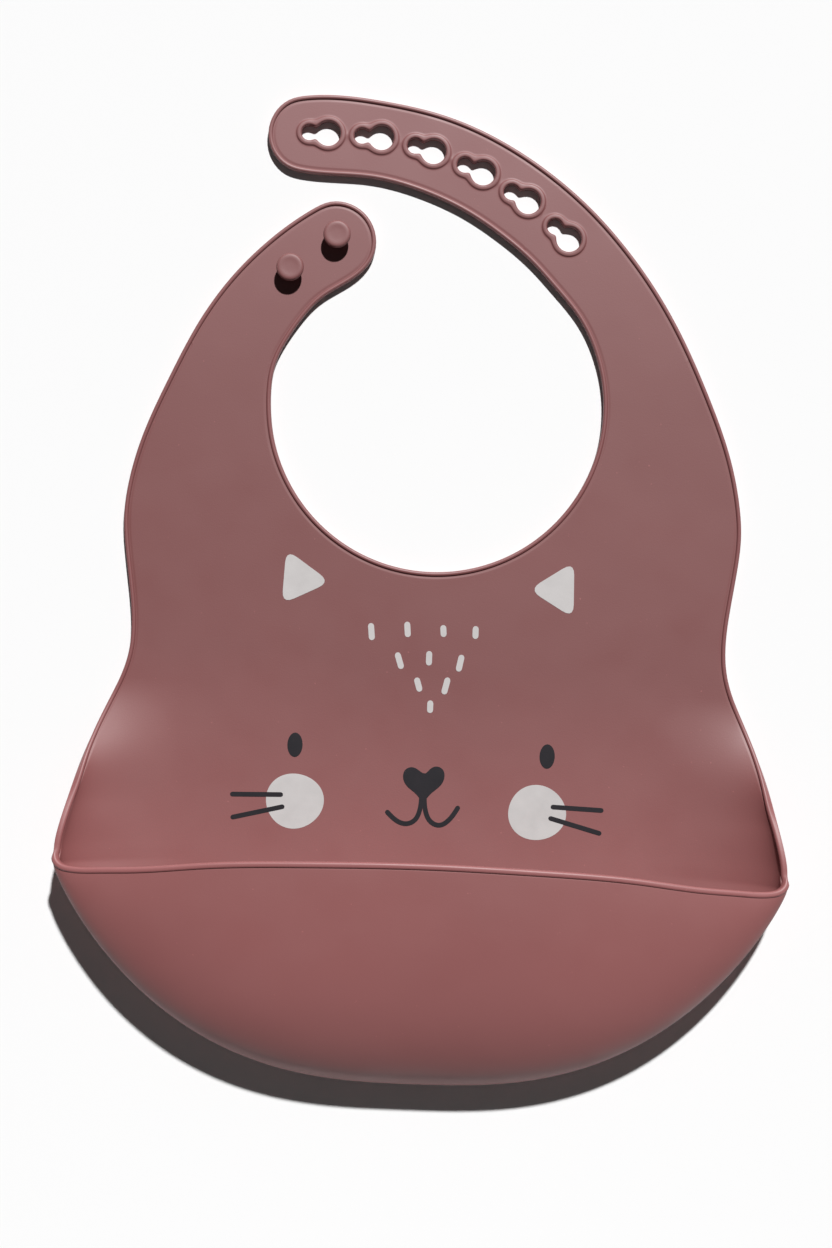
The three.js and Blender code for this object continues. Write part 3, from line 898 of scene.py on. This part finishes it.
def silicone(name, base, painted_shade_colour, painted_sheen_colour, roughness):
    """Matte moulded silicone: painted shade darkens it up the bib, a painted sheen greys it at the
    straps, with grain and lint.
    """
    m = Nodes(name)
    clouds = m.between(m.noise(14, 3), 0.35, 0.65, -0.06, 0.06)
    # factor of the painted shade up the bib, with random tone added
    depth = m.tree.nodes.new("ShaderNodeMath")
    depth.operation = "ADD"
    m.link(m.up_the_bib(*PAINTED_SHADE_SPAN), depth.inputs[0])
    m.link(clouds, depth.inputs[1])
    # mixes towards the painted shade colour up the bib, then towards the painted sheen colour at
    # the straps
    body = m.mix(m.up_the_bib(*PAINTED_SHEEN_SPAN), m.mix(depth.outputs["Value"], base, painted_shade_colour), painted_sheen_colour)
    lint = m.between(m.noise(900, 1), 0.78, 0.82, 0, 0.35)
    pale = tuple(min(1.0, c * 1.6) for c in base[:3]) + (1.0,)
    m.link(m.mix(lint, body, pale), m.shader.inputs["Base Color"])
    rough = m.between(m.noise(60, 4), 0.3, 0.7, roughness - 0.05, roughness + 0.05)
    m.link(rough, m.shader.inputs["Roughness"])
    waves = m.bump(m.noise(22, 2), 0.0012, 0.35)
    m.link(m.bump(m.noise(2600, 2), 0.00004, 0.5, waves), m.shader.inputs["Normal"])
    m.shader.inputs["Specular IOR Level"].default_value = 0.85
    return m.material


def ink(name, base, worn):
    """Screen-printed ink: flat colour with slight density changes and a dry, soft finish."""
    m = Nodes(name)
    density = m.between(m.noise(180, 4), 0.35, 0.7, 0, 1)
    m.link(m.mix(density, base, worn), m.shader.inputs["Base Color"])
    m.link(m.between(m.noise(300, 3), 0.3, 0.7, 0.55, 0.68), m.shader.inputs["Roughness"])
    m.link(m.bump(m.noise(2600, 2), 0.00003, 0.5), m.shader.inputs["Normal"])
    m.shader.inputs["Specular IOR Level"].default_value = 0.35
    return m.material


# where the painted shade darkens and the painted sheen greys the silicone up the bib, in metres
PAINTED_SHADE_SPAN = (-0.13, -0.02)
PAINTED_SHEEN_SPAN = (0.06, 0.15)
# bottom colour, painted shade colour further up, painted sheen colour at the straps, roughness
sheet_silicone = silicone(
    "silicone", linear(156, 95, 94), linear(124, 71, 70), linear(139, 89, 89), 0.56
)
# the bead's silicone is the sheet's colour made lighter: a painted highlight on the rounded bead
rim_silicone = silicone(
    "rim_silicone", linear(164, 100, 100), linear(132, 78, 78), linear(142, 92, 92), 0.52
)
white_ink = ink("white_ink", linear(200, 196, 195), linear(193, 189, 188))
dark_ink = ink("dark_ink", linear(31, 29, 34), linear(36, 33, 38))


def finish(obj, material):
    """Gives a piece its material."""
    obj.data.materials.clear()
    obj.data.materials.append(material)


for piece in (bowl, sheet_plate, strap_root, strap_end, stud_plate, *studs):
    finish(piece, sheet_silicone)
# the beads take the lighter copy of the silicone, with its painted highlight
for piece in (sheet_bead, root_bead, end_bead, stud_bead, pocket_bead):
    finish(piece, rim_silicone)
for name, piece in prints.items():
    dark = name in whiskers or name in eyes
    finish(piece, dark_ink if dark else white_ink)
for piece in cheeks.values():
    finish(piece, white_ink)
for piece in (*arms, heart):
    finish(piece, dark_ink)


def blend(pieces):
    """Bakes each piece's placement into its mesh."""
    for piece in pieces:
        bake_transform(piece)


blend([sheet_plate, sheet_bead, *(prints[m] for m in marks)])
blend([bowl, pocket_bead])
blend([strap_root, root_bead])
blend([strap_end, end_bead])
blend([stud_plate, stud_bead])
for piece in studs:
    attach(piece, "stud_strap")
for name in ears:
    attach(prints[name], "chest")
for piece in (*cheeks.values(), *arms, heart, *(prints[n] for n in (*whiskers, *eyes))):
    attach(piece, "belly")

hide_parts("belly_panel", "chest_panel")
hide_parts("pocket_front", "pocket_lip")
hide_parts("pocket_rim", "left_rim_end", "right_rim_end")
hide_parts("slotted_strap")
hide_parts("slotted_strap_tip")
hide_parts("stud_strap")
for piece, node in zip(studs, ("upper_stud", "lower_stud")):
    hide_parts(node)
for name, piece in prints.items():
    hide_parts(name)
for side, piece in cheeks.items():
    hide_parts(f"{side}_cheek")
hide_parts("mouth")
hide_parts("nose")


# ---------------------------------------------------------------- studio
LIGHT_FROM = Vector((0.153, 0.665, 0.731))
FLOOR_HALF = 20
FLOOR_DROP = 0.0002


def floor():
    """A plain pale floor just under the bib."""
    mesh = bpy.data.meshes.new("floor")
    signs = ((-1, -1), (1, -1), (1, 1), (-1, 1))
    corners = [(x * FLOOR_HALF, y * FLOOR_HALF, -FLOOR_DROP) for x, y in signs]
    mesh.from_pydata(corners, [], [(0, 1, 2, 3)])
    obj = bpy.data.objects.new("floor", mesh)
    bpy.context.scene.collection.objects.link(obj)
    m = Nodes("floor")
    m.link(m.between(m.noise(9, 3), 0.3, 0.7, 0.85, 0.9), m.shader.inputs["Roughness"])
    m.shader.inputs["Base Color"].default_value = linear(246, 246, 246)
    mesh.materials.append(m.material)


def light(name, kind, place, energy):
    """A light that faces the bib from a place."""
    data = bpy.data.lights.new(name, kind)
    data.energy = energy
    obj = bpy.data.objects.new(name, data)
    obj.location = place
    obj.rotation_euler = place.to_track_quat("Z", "Y").to_euler()
    bpy.context.scene.collection.objects.link(obj)
    return data


def studio():
    """A key light from above the straps, a faint fill, and a white backdrop that lights little."""
    light("key_light", "SUN", LIGHT_FROM, 4.35).angle = math.radians(2.5)
    light("fill_light", "AREA", Vector((0.05, -0.5, 0.42)), 0.1).size = 0.4
    world = bpy.data.worlds.new("studio")
    world.use_nodes = True
    tree = world.node_tree
    background = tree.nodes["Background"]
    background.inputs["Color"].default_value = (1, 1, 1, 1)
    rays = tree.nodes.new("ShaderNodeLightPath")
    seen = tree.nodes.new("ShaderNodeMapRange")
    seen.inputs["To Min"].default_value = 0.03
    seen.inputs["To Max"].default_value = 0.97
    tree.links.new(rays.outputs["Is Camera Ray"], seen.inputs["Value"])
    tree.links.new(seen.outputs["Result"], background.inputs["Strength"])
    bpy.context.scene.world = world


def camera():
    """Straight down over the bib, turned as the picture is."""
    data = bpy.data.cameras.new("camera")
    data.lens = 59.5
    data.clip_end = 20
    obj = bpy.data.objects.new("camera", data)
    obj.location = (-0.0041, -0.0106, 0.65)
    obj.rotation_euler = (0, 0, math.radians(2.1))
    bpy.context.scene.collection.objects.link(obj)
    bpy.context.scene.camera = obj


floor()
studio()
camera()
bpy.context.scene.view_settings.view_transform = "Standard"
